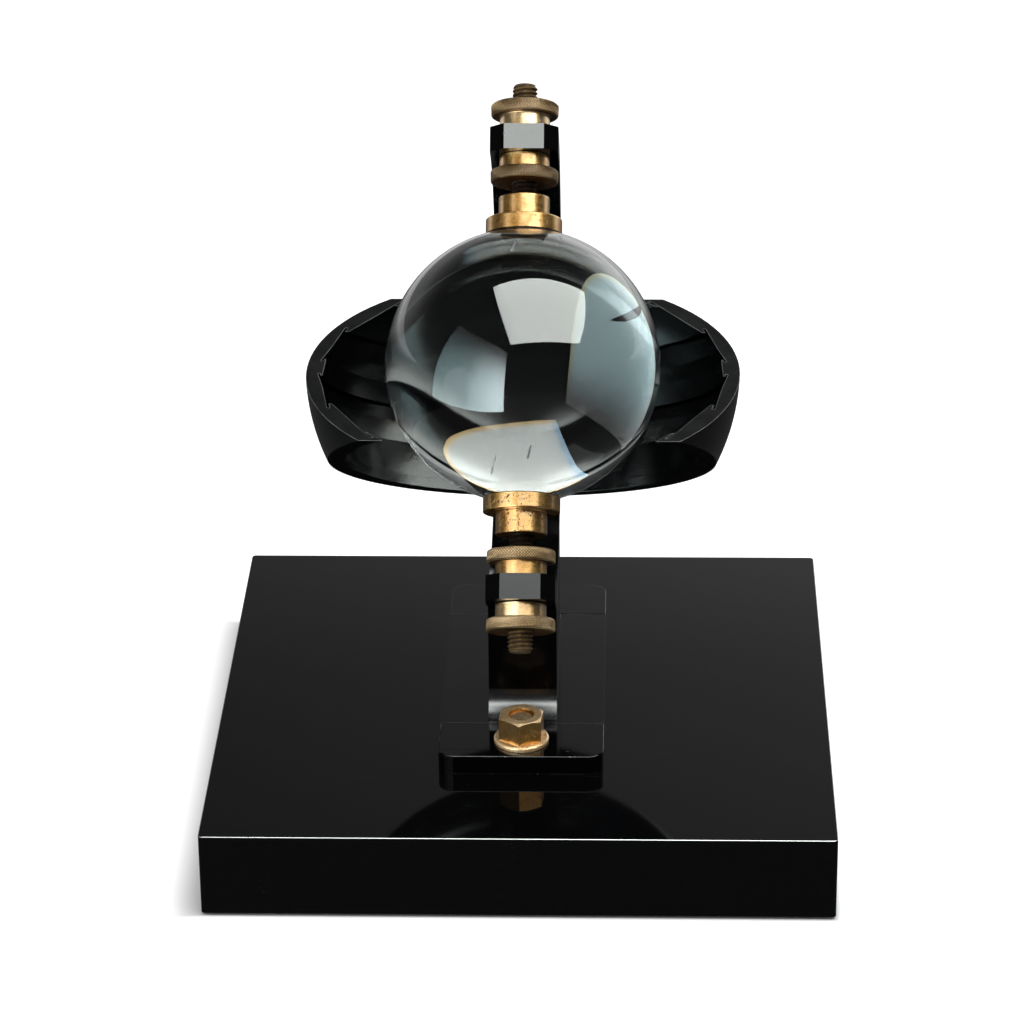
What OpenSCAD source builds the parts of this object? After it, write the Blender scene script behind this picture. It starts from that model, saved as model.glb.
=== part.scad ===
// Sunshine recorder: a glass ball held on the polar axis between two screw cups,
// a spherical bowl for the cards, and a meridian arc clamped on a pedestal.
// Millimetres. Origin: middle of the underside. +Z up, +Y away from the sun.

/* [Base] */
// Width of the polished slab, along X
base_w = 228.6; // [190:0.1:280]
// Depth of the polished slab, along Y
base_d = 228.6; // [190:0.1:280]
// Thickness of the polished slab
base_t = 31.75; // [25:0.05:45]
// Radius of the slab's upright corners
base_corner_r = 1.6; // [0.5:0.1:6]
// Thickness of the baize under the slab
baize_t = 0.8; // [0.5:0.1:2]
// Distance from the slab's edge to the baize's edge
baize_inset = 4; // [1:0.5:10]
// Distance that the instrument stands behind the middle of the slab
stand_y = 3.2; // [-6:0.1:8]

/* [Sub-plate] */
// Width of the sub-plate
plate_w = 60.8; // [50:0.1:80]
// Length of the sub-plate
plate_l = 141; // [125:0.5:160]
// Thickness of the sub-plate
plate_t = 7.5; // [6:0.1:12]
// Radius of the sub-plate's corners
plate_corner_r = 6; // [2:0.1:10]

/* [Pedestal] */
// Width of the upright, along X
post_w = 25.4; // [20:0.1:30]
// Depth of the upright, along Y
post_d = 68.4; // [50:0.1:76]
// Height of the cradle's lowest point above the sub-plate
post_h = 36.2; // [28:0.1:60]
// Radius of the fillets at the foot of the upright
post_fillet_r = 10.7; // [4:0.1:12]
// Thickness of the foot that is let into the sub-plate
foot_t = 3; // [2:0.1:4]
// Flat land at the top of each cradle horn
horn_land = 2; // [1:0.1:4]
// Gap between the foot's ends and its rebate
foot_gap = 0.1; // [0.05:0.01:0.3]

/* [Glass ball] */
// Diameter of the ball
ball_d = 101.6; // [90:0.1:112]
// Refractive index of the glass, which sets how far away the sun's image lies
glass_index = 1.53; // [1.5:0.005:1.56]
// Elevation of the polar axis, the latitude that the instrument is set to
latitude = 54.75; // [40:0.05:60]

/* [Bowl] */
// Thickness of a record card
card_t = 0.4; // [0.3:0.05:0.6]
// Wall of the bowl behind the middle card
bowl_wall = 6.3; // [5:0.1:9]
// Half height of the bowl along the polar axis
bowl_half_h = 36.3; // [33:0.1:40]
// Latitude for which the bowl's two ends are cut level
bowl_latitude = 51.5; // [45:0.5:60]
// Depth of the level ends below the ball's centre
bowl_end_drop = 2; // [0:0.1:6]
// Half width of the ridge between the summer and winter cards
ridge_half_w = 4.2; // [3.8:0.1:5]
// Depth that a card's edge goes in under the ridge
ridge_undercut = 1; // [0.6:0.1:1.6]
// Half width of the middle card's track
mid_card_half_w = 20.4; // [19:0.1:22]
// Depth that a card's edge goes in under a lip
lip_undercut = 2; // [1:0.1:2.6]
// Width of a card slot's mouth
slot_mouth = 1; // [0.8:0.05:1.3]
// How far the curved cards' beds close in for each millimetre of height
bed_slope = 0.27; // [0.24:0.01:0.3]
// Width of the lip at the bowl's rim
rim_lip_w = 4.1; // [3.2:0.1:5]
// Thickness of the lip at the bowl's rim
rim_lip_t = 1; // [0.8:0.1:1.6]

/* [Meridian arc] */
// Width of the arc, along X
arc_w = 25.4; // [20:0.1:30]
// Thickness of the arc
arc_t = 9.525; // [9:0.025:13]
// Depth that the arc is bedded into the bowl
arc_bed = 0.8; // [0.4:0.1:1.2]
// Reach of each end beyond the polar axis
arm_reach = 13; // [10:0.1:18]
// Chamfer on the outer corners of each end
arm_chamfer = 5.3; // [2:0.1:8]
// Gap between the arc and its cradle
arc_gap = 0.3; // [0.2:0.05:0.6]
// Lowest latitude that the clamp slot allows
latitude_min = 40; // [36:1:45]
// Highest latitude that the clamp slot allows
latitude_max = 60; // [58:1:62]
// Radius of the bowl screws
bowl_screw_r = 2; // [1.5:0.1:2.5]
// Distance of the bowl screws from the middle of the arc
bowl_screw_x = 6.5; // [5:0.1:8]
// Angle of the bowl screws from the middle of the bowl
bowl_screw_angle = 10; // [8:1:16]
// Depth that the bowl screws go into the bowl
bowl_screw_grip = 3.2; // [2:0.1:4]

/* [Cups and spindles] */
// Radius of the threaded spindles
spindle_r = 4.7625; // [4:0.0125:5.5]
// Thread pitch of the spindles
pitch = 1.5875; // [1:0.0125:2]
// Depth of the thread
thread_depth = 0.9; // [0.5:0.05:1.1]
// Radius of a cup's flange
cup_r = 14.2; // [12:0.1:16]
// Radius of a cup's neck
neck_r = 9.45; // [8:0.05:11]
// Length of a cup's neck
neck_l = 8.3; // [5:0.1:9]
// Thickness of the leather pad in a cup
pad_t = 1.2; // [0.8:0.1:2]
// Radius of the leather pad
pad_r = 11.4; // [9:0.1:11.8]
// Gap between the pad and the ball
ball_gap = 0.3; // [0.2:0.05:0.5]
// Room for a cup to draw back before it meets the inner nut
cup_room = 5.7; // [5.2:0.1:7]
// Length of a spindle beyond its outer nut
spindle_end = 7.5; // [4:0.1:12]

/* [Knurled nuts] */
// Radius of the knurled rim
knurl_r = 12.7; // [11:0.1:14]
// Thickness of the knurled rim
knurl_t = 4.6; // [3.5:0.1:6]
// Radius of a nut's hub
hub_r = 9.4; // [8:0.1:10.5]
// Length of a nut's hub
hub_l = 5.6; // [4:0.1:7]
// Bevel on the knurled rim's edges
knurl_bevel = 0.7; // [0.3:0.1:1.2]
// Gap between a nut's hub and the arc
nut_gap = 0.1; // [0.05:0.01:0.2]
// Depth of the flat cut into the arc for the inner nut's hub
spot_t = 0.2; // [0.1:0.05:0.6]
// Radial running clearance on the spindle
run_gap = 0.05; // [0.02:0.01:0.09]

/* [Fastenings] */
// Radius of the two holding-down bolts
bolt_r = 4.7625; // [4:0.0125:5]
// Width across flats of the holding-down nuts
nut_af = 15.5; // [14:0.1:18]
// Height of the holding-down nuts
nut_h = 9; // [6:0.1:11]
// Radius of the washers under them
washer_r = 10.1; // [9.5:0.1:12]
// Thickness of the washers
washer_t = 1.8; // [1:0.1:2.5]
// Turn of the nuts away from square
nut_turn = 7; // [0:1:29]
// Depth of a bolt's end below the top of its nut
bolt_sunk = 1.2; // [0.5:0.1:3]
// Height of the bolt heads under the slab
head_h = 6; // [4:0.1:7]
// Radius of the clamp bolt
clamp_r = 3; // [2.5:0.1:3.4]
// Width of the clamp bolt's head, across the slot
tee_w = 10.4; // [9.4:0.1:11]
// Length of the clamp bolt's head, along the slot
tee_l = 12; // [9:0.1:14]
// Thickness of the clamp bolt's head
tee_t = 2.7; // [2:0.1:2.9]
// Thickness of the clamp washer
clamp_washer_t = 1.2; // [0.8:0.1:2]
// Width across flats of the clamp nut
clamp_nut_af = 11.1; // [9:0.1:12]
// Height of the clamp nut
clamp_nut_h = 5; // [4:0.1:6]
// Radius of the pedestal screws
post_screw_r = 2; // [1.5:0.1:2.5]
// Depth that the pedestal screws go into the upright
post_screw_grip = 12; // [6:0.5:14]
// Play of a screw or bolt in its hole
hole_play = 0.2; // [0.1:0.05:0.4]

/* [Hidden] */
$fn = 96;
cut = 1;
big = 400;

base_top = baize_t + base_t;
plate_top = base_top + plate_t;

ball_r = ball_d / 2;
focus_r = glass_index * ball_r / (2 * (glass_index - 1));
bed_r = focus_r + card_t;
bowl_r = bed_r + bowl_wall;

arc_r_in = bowl_r - arc_bed;
arc_r_out = arc_r_in + arc_t;
ball_z = plate_top + post_h + arc_gap + arc_r_out;

foot_l = post_d + 2 * post_fillet_r;
land_y = (plate_l + foot_l) / 4;

cradle_r = arc_r_out + arc_gap;
horn_y = post_d / 2 - horn_land;
post_top = ball_z - sqrt(cradle_r * cradle_r - horn_y * horn_y);

// The clamp slot in the back of the arc: a narrow neck over a wide chamber
slot_neck_w = 2 * clamp_r + 2 * arc_gap;
slot_neck_t = 3.2;
slot_tee_w = tee_w + 2 * arc_gap;
slot_tee_t = tee_t + 3 * arc_gap;
shoulder_r = arc_r_out - slot_neck_t;
tee_sink = shoulder_r - sqrt(shoulder_r * shoulder_r - tee_l * tee_l / 4);
tee_z = ball_z - shoulder_r + tee_sink + arc_gap;
tee_half_angle = asin((tee_l / 2 + arc_gap) / shoulder_r);
slot_from = 90 - latitude_max - tee_half_angle;
slot_to = 90 - latitude_min + tee_half_angle;
entry_angle = 2 * tee_half_angle + 1;

// Stations along the polar axis, from the ball's centre outward
inner_nut_z = arc_r_in + spot_t - nut_gap - hub_l - knurl_t;
outer_nut_z = arc_r_out + nut_gap;
neck_end_z = inner_nut_z - cup_room;
flange_end_z = neck_end_z - neck_l;
seat_r = ball_r + ball_gap;
spindle_z = seat_r + pad_t + 4;
spindle_top_z = outer_nut_z + hub_l + knurl_t + spindle_end;
cup_floor_z = sqrt(seat_r * seat_r - cup_r * cup_r) - cut;

// Counterbores under the slab
bolt_head_af = 3 * bolt_r;
head_bore_r = bolt_head_af / 2 / cos(30) + 2;
head_bore_h = head_h + 2;
clamp_bore_r = clamp_nut_af / 2 / cos(30) + 3;
clamp_bore_h = clamp_washer_t + clamp_nut_h + 3;
clamp_end = 2;

screw_y = post_d / 2 - 10;
screw_x = post_w / 2 - 5.2;
screw_head_t = 1.8;

// A rectangle about the origin with round corners
module round_rect(w, d, r) {
    square([w - 2 * r, d], center = true);
    square([w, d - 2 * r], center = true);
    for (x = [-1, 1], y = [-1, 1])
        translate([x * (w / 2 - r), y * (d / 2 - r)]) circle(r);
}

// Places its children in the frame of the ball: Z along the polar axis, Y toward the bowl
module polar() {
    translate([0, stand_y, ball_z]) rotate([latitude - 90, 0, 0]) children();
}

// The same for the lower end, with Z pointing down the polar axis
module lower_polar() {
    polar() rotate([180, 0, 0]) children();
}

// A solid swept round the X axis, from one angle to another, measured from -Z toward +Y
module sweep_x(from, to) {
    rotate([0, 90, 0]) rotate([0, 0, from]) rotate_extrude(angle = to - from, $fn = 180) children();
}

module ring(outer_r, inner_r, h) {
    difference() {
        cylinder(r = outer_r, h = h);
        translate([0, 0, -cut]) cylinder(r = inner_r, h = h + 2 * cut);
    }
}

module hex_nut(af, h, hole_r) {
    corner_r = af / 2 / cos(30);
    bevel = corner_r - af / 2 + 0.2;
    difference() {
        intersection() {
            cylinder(r = corner_r, h = h, $fn = 6);
            rotate_extrude()
                polygon([[0, 0], [corner_r, 0], [corner_r, h - bevel / 2], [corner_r - bevel, h], [0, h]]);
        }
        translate([0, 0, -cut]) cylinder(r = hole_r, h = h + 2 * cut);
    }
}

// A rod whose thread is drawn as rings, with a bevelled end
module threaded_rod(r, thread_from, top, depth, turn) {
    turns = floor((top - thread_from) / turn) - 1;
    thread_to = thread_from + turns * turn;
    rotate_extrude()
        polygon(concat(
            [[0, 0], [r, 0], [r, thread_from]],
            [for (k = [0 : turns - 1], p = [[r - depth, 0.5], [r, 0.92], [r, 1]])
                [p[0], thread_from + (k + p[1]) * turn]],
            [[r, max(thread_to, top - depth)], [r - depth, top], [0, top]]));
}

module holding_bolt() {
    shank = plate_top + washer_t + nut_h - bolt_sunk - baize_t - head_bore_h;
    head_z = baize_t + head_bore_h;
    translate([0, 0, head_z]) threaded_rod(bolt_r, shank - nut_h - washer_t, shank, thread_depth, pitch);
    translate([0, 0, head_z - head_h]) cylinder(r = bolt_head_af / 2 / cos(30), h = head_h, $fn = 6);
}

module holding_washer() {
    bevel = washer_t / 3;
    translate([0, 0, plate_top]) difference() {
        rotate_extrude()
            polygon([[0, 0], [washer_r, 0], [washer_r, washer_t - bevel], [washer_r - bevel, washer_t], [0, washer_t]]);
        translate([0, 0, -cut]) cylinder(r = bolt_r + hole_play, h = washer_t + 2 * cut);
    }
}

module holding_nut() {
    translate([0, 0, plate_top + washer_t]) rotate([0, 0, -90 + nut_turn])
        hex_nut(nut_af, nut_h, bolt_r + run_gap);
}

module front() {
    translate([0, stand_y - land_y, 0]) children();
}

module rear() {
    translate([0, stand_y + land_y, 0]) children();
}

module base_slab() {
    color([0.02, 0.02, 0.022]) difference() {
        translate([0, 0, baize_t]) linear_extrude(base_t) round_rect(base_w, base_d, base_corner_r);
        for (y = [stand_y - land_y, stand_y + land_y]) translate([0, y, 0]) {
            cylinder(r = bolt_r + hole_play, h = big);
            cylinder(r = head_bore_r, h = baize_t + head_bore_h);
        }
        translate([0, stand_y, 0]) {
            cylinder(r = clamp_r + hole_play, h = big);
            cylinder(r = clamp_bore_r, h = baize_t + clamp_bore_h);
        }
    }
}

module base_baize() {
    color([0.03, 0.09, 0.05])
        linear_extrude(baize_t) square([base_w - 2 * baize_inset, base_d - 2 * baize_inset], center = true);
}

module sub_plate() {
    color([0.03, 0.03, 0.033]) translate([0, stand_y, base_top]) difference() {
        linear_extrude(plate_t) round_rect(plate_w, plate_l, plate_corner_r);
        translate([-big / 2, -foot_l / 2, plate_t - foot_t]) cube([big, foot_l, big]);
        for (y = [-land_y, land_y])
            translate([0, y, -cut]) cylinder(r = bolt_r + hole_play, h = big);
        translate([0, 0, -cut]) cylinder(r = clamp_r + hole_play, h = big);
        for (x = [-1, 1], y = [-1, 1]) translate([x * screw_x, y * screw_y, -cut]) {
            cylinder(r = post_screw_r + hole_play, h = big);
            cylinder(r = 2 * post_screw_r + hole_play, h = screw_head_t + cut);
        }
    }
}

module pedestal() {
    color([0.03, 0.03, 0.033]) difference() {
        translate([0, stand_y, plate_top]) union() {
            translate([-plate_w / 2, foot_gap - foot_l / 2, -foot_t]) cube([plate_w, foot_l - 2 * foot_gap, foot_t]);
            translate([-post_w / 2, -post_d / 2, -foot_t / 2]) cube([post_w, post_d, post_top - plate_top + foot_t / 2]);
            for (side = [0, 1]) mirror([0, side, 0]) difference() {
                translate([-post_w / 2, -post_d / 2 - post_fillet_r + foot_gap, -foot_t / 2])
                    cube([post_w, 2 * post_fillet_r, post_fillet_r + foot_t / 2]);
                translate([-post_w / 2 - cut, -post_d / 2 - post_fillet_r, post_fillet_r])
                    rotate([0, 90, 0]) cylinder(r = post_fillet_r, h = post_w + 2 * cut);
            }
        }
        translate([-post_w, stand_y, ball_z]) rotate([0, 90, 0]) cylinder(r = cradle_r, h = 2 * post_w, $fn = 180);
        translate([0, stand_y, 0]) {
            cylinder(r = clamp_r + hole_play, h = big);
            for (x = [-1, 1], y = [-1, 1]) translate([x * screw_x, y * screw_y, 0])
                cylinder(r = post_screw_r + run_gap, h = plate_top + post_screw_grip + cut);
        }
    }
}

module pedestal_screws() {
    color([0.55, 0.56, 0.58])
        for (x = [-1, 1], y = [-1, 1]) translate([x * screw_x, stand_y + y * screw_y, base_top]) {
            cylinder(r = 2 * post_screw_r, h = screw_head_t);
            cylinder(r = post_screw_r, h = plate_t + post_screw_grip);
        }
}

module front_bolt() { color([0.62, 0.45, 0.2]) front() holding_bolt(); }
module front_washer() { color([0.75, 0.55, 0.25]) front() holding_washer(); }
module front_nut() { color([0.78, 0.57, 0.26]) front() holding_nut(); }
module rear_bolt() { color([0.62, 0.45, 0.2]) rear() holding_bolt(); }
module rear_washer() { color([0.75, 0.55, 0.25]) rear() holding_washer(); }
module rear_nut() { color([0.78, 0.57, 0.26]) rear() holding_nut(); }

module clamp_bolt() {
    low = baize_t + clamp_end;
    color([0.55, 0.56, 0.58]) translate([0, stand_y, 0]) {
        translate([0, 0, low]) cylinder(r = clamp_r, h = tee_z + tee_t / 2 - low);
        translate([-tee_w / 2, -tee_l / 2, tee_z]) cube([tee_w, tee_l, tee_t]);
    }
}

module clamp_washer() {
    color([0.6, 0.6, 0.62]) translate([0, stand_y, baize_t + clamp_bore_h - clamp_washer_t])
        ring(clamp_bore_r - 1.5, clamp_r + hole_play, clamp_washer_t);
}

module clamp_nut() {
    color([0.55, 0.56, 0.58]) translate([0, stand_y, baize_t + clamp_bore_h - clamp_washer_t - clamp_nut_h])
        hex_nut(clamp_nut_af, clamp_nut_h, clamp_r + run_gap);
}

// Runs its children at each bowl screw, with Z pointing out through the back of the arc
module at_bowl_screws() {
    for (x = [-1, 1], a = [-1, 1])
        rotate([a * bowl_screw_angle, 0, 0]) translate([x * bowl_screw_x, 0, 0]) rotate([-90, 0, 0]) children();
}

module bowl_screw_hole(play) {
    head_z = arc_r_out - bowl_screw_r;
    translate([0, 0, arc_r_in - bowl_screw_grip]) cylinder(r = bowl_screw_r + play, h = big);
    translate([0, 0, head_z])
        cylinder(r1 = bowl_screw_r + play, r2 = 2 * bowl_screw_r + play, h = bowl_screw_r);
    translate([0, 0, arc_r_out]) cylinder(r = 2 * bowl_screw_r + play, h = big);
}

module arm() {
    half = arc_w / 2;
    translate([0, 0, arc_r_in]) difference() {
        linear_extrude(arc_t)
            polygon([[-half, 0], [-half, arm_chamfer - arm_reach], [arm_chamfer - half, -arm_reach],
                     [half - arm_chamfer, -arm_reach], [half, arm_chamfer - arm_reach], [half, 0]]);
        translate([0, 0, -cut]) cylinder(r = spindle_r + run_gap, h = arc_t + 2 * cut);
    }
}

module meridian_arc() {
    color([0.03, 0.03, 0.033]) polar() difference() {
        union() {
            sweep_x(0, 180) translate([arc_r_in, -arc_w / 2]) square([arc_t, arc_w]);
            arm();
            mirror([0, 0, 1]) arm();
        }
        for (side = [0, 1]) mirror([0, 0, side]) {
            translate([0, 0, arc_r_in - cut]) cylinder(r = spindle_r + run_gap, h = arc_t + 2 * cut);
            translate([0, 0, arc_r_in - 2 * cut]) cylinder(r = hub_r + 2 * hole_play, h = 2 * cut + spot_t);
        }
        sweep_x(slot_from, slot_to) translate([shoulder_r - cut, -slot_neck_w / 2])
            square([slot_neck_t + 2 * cut, slot_neck_w]);
        sweep_x(slot_from, slot_to) translate([shoulder_r - slot_tee_t, -slot_tee_w / 2])
            square([slot_tee_t, slot_tee_w]);
        sweep_x(slot_to, slot_to + entry_angle) translate([shoulder_r - slot_tee_t, -slot_tee_w / 2])
            square([slot_tee_t + slot_neck_t + cut, slot_tee_w]);
        at_bowl_screws() bowl_screw_hole(run_gap);
    }
}

// Radius of the bed under the summer and winter cards, at a height along the polar axis
function curved_bed(z) = bed_r + card_t + 1.4 - bed_slope * (z - ridge_half_w + ridge_undercut);

// Half of the bowl's section, from the middle ridge to the rim
function bowl_half_section() =
    let (ridge_under = curved_bed(ridge_half_w - ridge_undercut) - slot_mouth,
         slot_in = bowl_half_h - 1.5,
         lip_in = bowl_half_h - rim_lip_w,
         track_from = ridge_half_w - ridge_undercut + (card_t + 1.4) / bed_slope,
         lip_z = mid_card_half_w - lip_undercut)
    [[bed_r, 0],
     [bed_r, ridge_half_w],
     [ridge_under, ridge_half_w],
     [ridge_under, ridge_half_w - ridge_undercut],
     [ridge_under + slot_mouth, ridge_half_w - ridge_undercut],
     [bed_r, track_from],
     [bed_r, mid_card_half_w],
     [bed_r - slot_mouth, mid_card_half_w],
     [bed_r - slot_mouth, lip_z],
     [curved_bed(lip_z), lip_z],
     [curved_bed(slot_in), slot_in],
     [curved_bed(slot_in) - slot_mouth, slot_in],
     [curved_bed(lip_in) - slot_mouth, lip_in],
     [curved_bed(lip_in) - slot_mouth - rim_lip_t, lip_in],
     [curved_bed(bowl_half_h) - slot_mouth - rim_lip_t, bowl_half_h]];

module bowl() {
    half = bowl_half_section();
    last = len(half) - 1;
    section = concat([for (i = [last : -1 : 0]) [half[i][0], -half[i][1]]],
                     [for (i = [1 : last]) half[i]],
                     [[2 * bowl_r, bowl_half_h], [2 * bowl_r, -bowl_half_h]]);
    color([0.05, 0.05, 0.055]) polar() difference() {
        intersection() {
            rotate_extrude($fn = 180) polygon(section);
            sphere(bowl_r, $fn = 180);
        }
        rotate([90 - bowl_latitude, 0, 0])
            translate([-big / 2, -big / 2, -bowl_end_drop]) cube([big, big, big]);
        sweep_x(0, 180) translate([arc_r_in, -arc_w / 2 - arc_gap / 2])
            square([2 * arc_bed, arc_w + arc_gap]);
        at_bowl_screws() translate([0, 0, arc_r_in - bowl_screw_grip - 0.2])
            cylinder(r = bowl_screw_r + run_gap, h = big);
    }
}

module bowl_screws() {
    slot_t = 1;
    color([0.5, 0.42, 0.28]) polar() at_bowl_screws() difference() {
        intersection() {
            bowl_screw_hole(0);
            cylinder(r = 2 * bowl_screw_r, h = arc_r_out - 0.3);
        }
        translate([-big / 2, -slot_t / 2, arc_r_out - bowl_screw_r * 0.6]) cube([big, slot_t, big]);
    }
}

module glass_ball() {
    color([0.75, 0.85, 0.83, 0.4]) polar() sphere(ball_r, $fn = 180);
}

module cup() {
    difference() {
        union() {
            translate([0, 0, cup_floor_z]) cylinder(r = cup_r, h = flange_end_z - cup_floor_z);
            translate([0, 0, cup_floor_z]) cylinder(r = neck_r, h = neck_end_z - cup_floor_z);
        }
        sphere(seat_r, $fn = 180);
        intersection() {
            sphere(seat_r + pad_t, $fn = 180);
            cylinder(r = pad_r + run_gap, h = big);
        }
        translate([0, 0, spindle_z]) cylinder(r = spindle_r + run_gap, h = big);
    }
}

module pad() {
    intersection() {
        difference() {
            sphere(seat_r + pad_t, $fn = 180);
            sphere(seat_r, $fn = 180);
        }
        cylinder(r = pad_r, h = big);
    }
}

module spindle() {
    translate([0, 0, spindle_z])
        threaded_rod(spindle_r, neck_end_z - spindle_z, spindle_top_z - spindle_z, thread_depth, pitch);
}

// A knurled nut with its hub upward
module knurled_nut() {
    difference() {
        rotate_extrude()
            polygon([[0, 0], [knurl_r - knurl_bevel, 0], [knurl_r, knurl_bevel], [knurl_r, knurl_t - knurl_bevel],
                     [knurl_r - knurl_bevel, knurl_t], [hub_r, knurl_t], [hub_r, knurl_t + hub_l],
                     [0, knurl_t + hub_l]]);
        translate([0, 0, -cut]) cylinder(r = spindle_r + run_gap, h = knurl_t + hub_l + 2 * cut);
    }
}

module inner_nut() {
    translate([0, 0, inner_nut_z]) knurled_nut();
}

module outer_nut() {
    translate([0, 0, outer_nut_z + hub_l + knurl_t]) mirror([0, 0, 1]) knurled_nut();
}

module upper_cup() { color([0.8, 0.6, 0.28]) polar() cup(); }
module upper_pad() { color([0.2, 0.13, 0.08]) polar() pad(); }
module upper_spindle() { color([0.5, 0.36, 0.17]) polar() spindle(); }
module upper_inner_nut() { color([0.72, 0.54, 0.27]) polar() inner_nut(); }
module upper_outer_nut() { color([0.72, 0.54, 0.27]) polar() outer_nut(); }
module lower_cup() { color([0.8, 0.6, 0.28]) lower_polar() cup(); }
module lower_pad() { color([0.2, 0.13, 0.08]) lower_polar() pad(); }
module lower_spindle() { color([0.5, 0.36, 0.17]) lower_polar() spindle(); }
module lower_inner_nut() { color([0.72, 0.54, 0.27]) lower_polar() inner_nut(); }
module lower_outer_nut() { color([0.72, 0.54, 0.27]) lower_polar() outer_nut(); }

base_slab();
base_baize();
sub_plate();
pedestal();
pedestal_screws();
front_bolt();
front_washer();
front_nut();
rear_bolt();
rear_washer();
rear_nut();
clamp_bolt();
clamp_washer();
clamp_nut();
meridian_arc();
bowl();
bowl_screws();
glass_ball();
upper_cup();
upper_pad();
upper_spindle();
upper_inner_nut();
upper_outer_nut();
lower_cup();
lower_pad();
lower_spindle();
lower_inner_nut();
lower_outer_nut();
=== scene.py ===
import math

import bmesh
import bpy
from mathutils import Matrix, Vector


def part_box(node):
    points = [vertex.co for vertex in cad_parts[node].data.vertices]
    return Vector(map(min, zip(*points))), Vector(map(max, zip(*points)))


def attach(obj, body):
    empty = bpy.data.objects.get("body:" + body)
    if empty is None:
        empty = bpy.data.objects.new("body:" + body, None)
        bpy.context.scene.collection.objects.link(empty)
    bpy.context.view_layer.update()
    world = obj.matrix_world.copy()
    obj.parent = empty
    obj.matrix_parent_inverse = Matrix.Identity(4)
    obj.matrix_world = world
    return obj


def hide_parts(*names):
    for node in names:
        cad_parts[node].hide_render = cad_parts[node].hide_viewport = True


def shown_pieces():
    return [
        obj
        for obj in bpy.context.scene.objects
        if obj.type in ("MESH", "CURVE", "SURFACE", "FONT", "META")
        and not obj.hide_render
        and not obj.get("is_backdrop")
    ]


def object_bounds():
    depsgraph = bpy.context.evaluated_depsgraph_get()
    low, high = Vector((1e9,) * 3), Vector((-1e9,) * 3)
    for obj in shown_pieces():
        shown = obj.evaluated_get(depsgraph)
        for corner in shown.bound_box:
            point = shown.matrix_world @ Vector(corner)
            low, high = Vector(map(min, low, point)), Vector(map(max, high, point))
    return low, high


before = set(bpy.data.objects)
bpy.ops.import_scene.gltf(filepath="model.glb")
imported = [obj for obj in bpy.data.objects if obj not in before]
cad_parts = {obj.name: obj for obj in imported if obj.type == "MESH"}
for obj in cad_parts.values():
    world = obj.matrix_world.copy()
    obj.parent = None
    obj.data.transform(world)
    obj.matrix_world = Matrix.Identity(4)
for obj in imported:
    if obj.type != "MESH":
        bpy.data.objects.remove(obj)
cadBox = [list(corner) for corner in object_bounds()]
print("frame loaded:", len(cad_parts), "nodes")

mm = 0.001
latitude = math.radians(54.75)
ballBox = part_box("glass_ball")
ballCentre = (ballBox[0] + ballBox[1]) / 2
ballRadius = (ballBox[1].x - ballBox[0].x) / 2
sunSide = Vector((0, -math.sin(latitude), math.cos(latitude)))
poleUp = Vector((0, math.cos(latitude), math.sin(latitude)))

# Z along the polar axis, Y toward the bowl, origin in the middle of the ball
polar = Matrix.Translation(ballCentre) @ Matrix((Vector((1, 0, 0)), -sunSide, poleUp)).transposed().to_4x4()
lowerPolar = polar @ Matrix.Rotation(math.pi, 4, "X")
frontBoltAxis = Matrix.Translation((0, -0.0545, 0.04))
weld = 1e-6  # points nearer than this are one


def colour(r, g, b):
    return (r, g, b, 1.0)


def grey(level):
    return colour(level, level, level)


# camera
viewpoint = {"place": (0.0396, -1.3549, 0.7543), "pitch": 25.52, "yaw": -1.86, "roll": -0.57, "lens": 141.2,
             "sensor": 36, "nearest": 0.01, "furthest": 50}


def makeCamera(spec):
    pitch, yaw, roll = (math.radians(spec[k]) for k in ("pitch", "yaw", "roll"))
    ahead = Vector((math.sin(yaw) * math.cos(pitch), math.cos(yaw) * math.cos(pitch), -math.sin(pitch)))
    right = Vector((math.cos(yaw), -math.sin(yaw), 0))
    up = right.cross(ahead)
    rolledRight = math.cos(roll) * right + math.sin(roll) * up
    rolledUp = math.cos(roll) * up - math.sin(roll) * right
    data = bpy.data.cameras.new("camera")
    data.lens, data.sensor_width = spec["lens"], spec["sensor"]
    data.clip_start, data.clip_end = spec["nearest"], spec["furthest"]
    camera = bpy.data.objects.new("camera", data)
    bpy.context.collection.objects.link(camera)
    turn = Matrix((rolledRight, rolledUp, -ahead)).transposed().to_4x4()
    camera.matrix_world = Matrix.Translation(spec["place"]) @ turn
    bpy.context.scene.camera = camera


makeCamera(viewpoint)
bpy.context.scene.view_settings.view_transform = "Standard"
print("camera placed")


# node trees written as expressions
class Wire:  # one output socket; Python's operators add Math nodes
    def __init__(self, net, socket):
        self.net, self.socket = net, socket

    def maths(self, operation, *others):  # a Math node that starts from this value
        return self.net.maths(operation, self, *others)

    def __add__(self, other):
        return self.maths("ADD", other)

    def __sub__(self, other):
        return self.maths("SUBTRACT", other)

    def __rsub__(self, other):
        return self.net.maths("SUBTRACT", other, self)

    def __mul__(self, other):
        return self.maths("MULTIPLY", other)

    def __truediv__(self, other):
        return self.maths("DIVIDE", other)

    def __rtruediv__(self, other):
        return self.net.maths("DIVIDE", other, self)

    def __neg__(self):
        return self.maths("MULTIPLY", -1.0)

    def __abs__(self):
        return self.maths("ABSOLUTE")

    __radd__ = __add__
    __rmul__ = __mul__

    def over(self, limit):
        return self.maths("GREATER_THAN", limit)

    def least(self, other):
        return self.maths("MINIMUM", other)

    def most(self, other):
        return self.maths("MAXIMUM", other)

    def clamped(self):
        return self.net.maths("ADD", self, 0.0, clamp=True)

    def step(self, low, high):  # 0 below low, 1 above high, smooth between
        return self.net.add("ShaderNodeMapRange", {"interpolation_type": "SMOOTHSTEP"},
                            {"Value": self, "From Min": low, "From Max": high})


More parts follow.
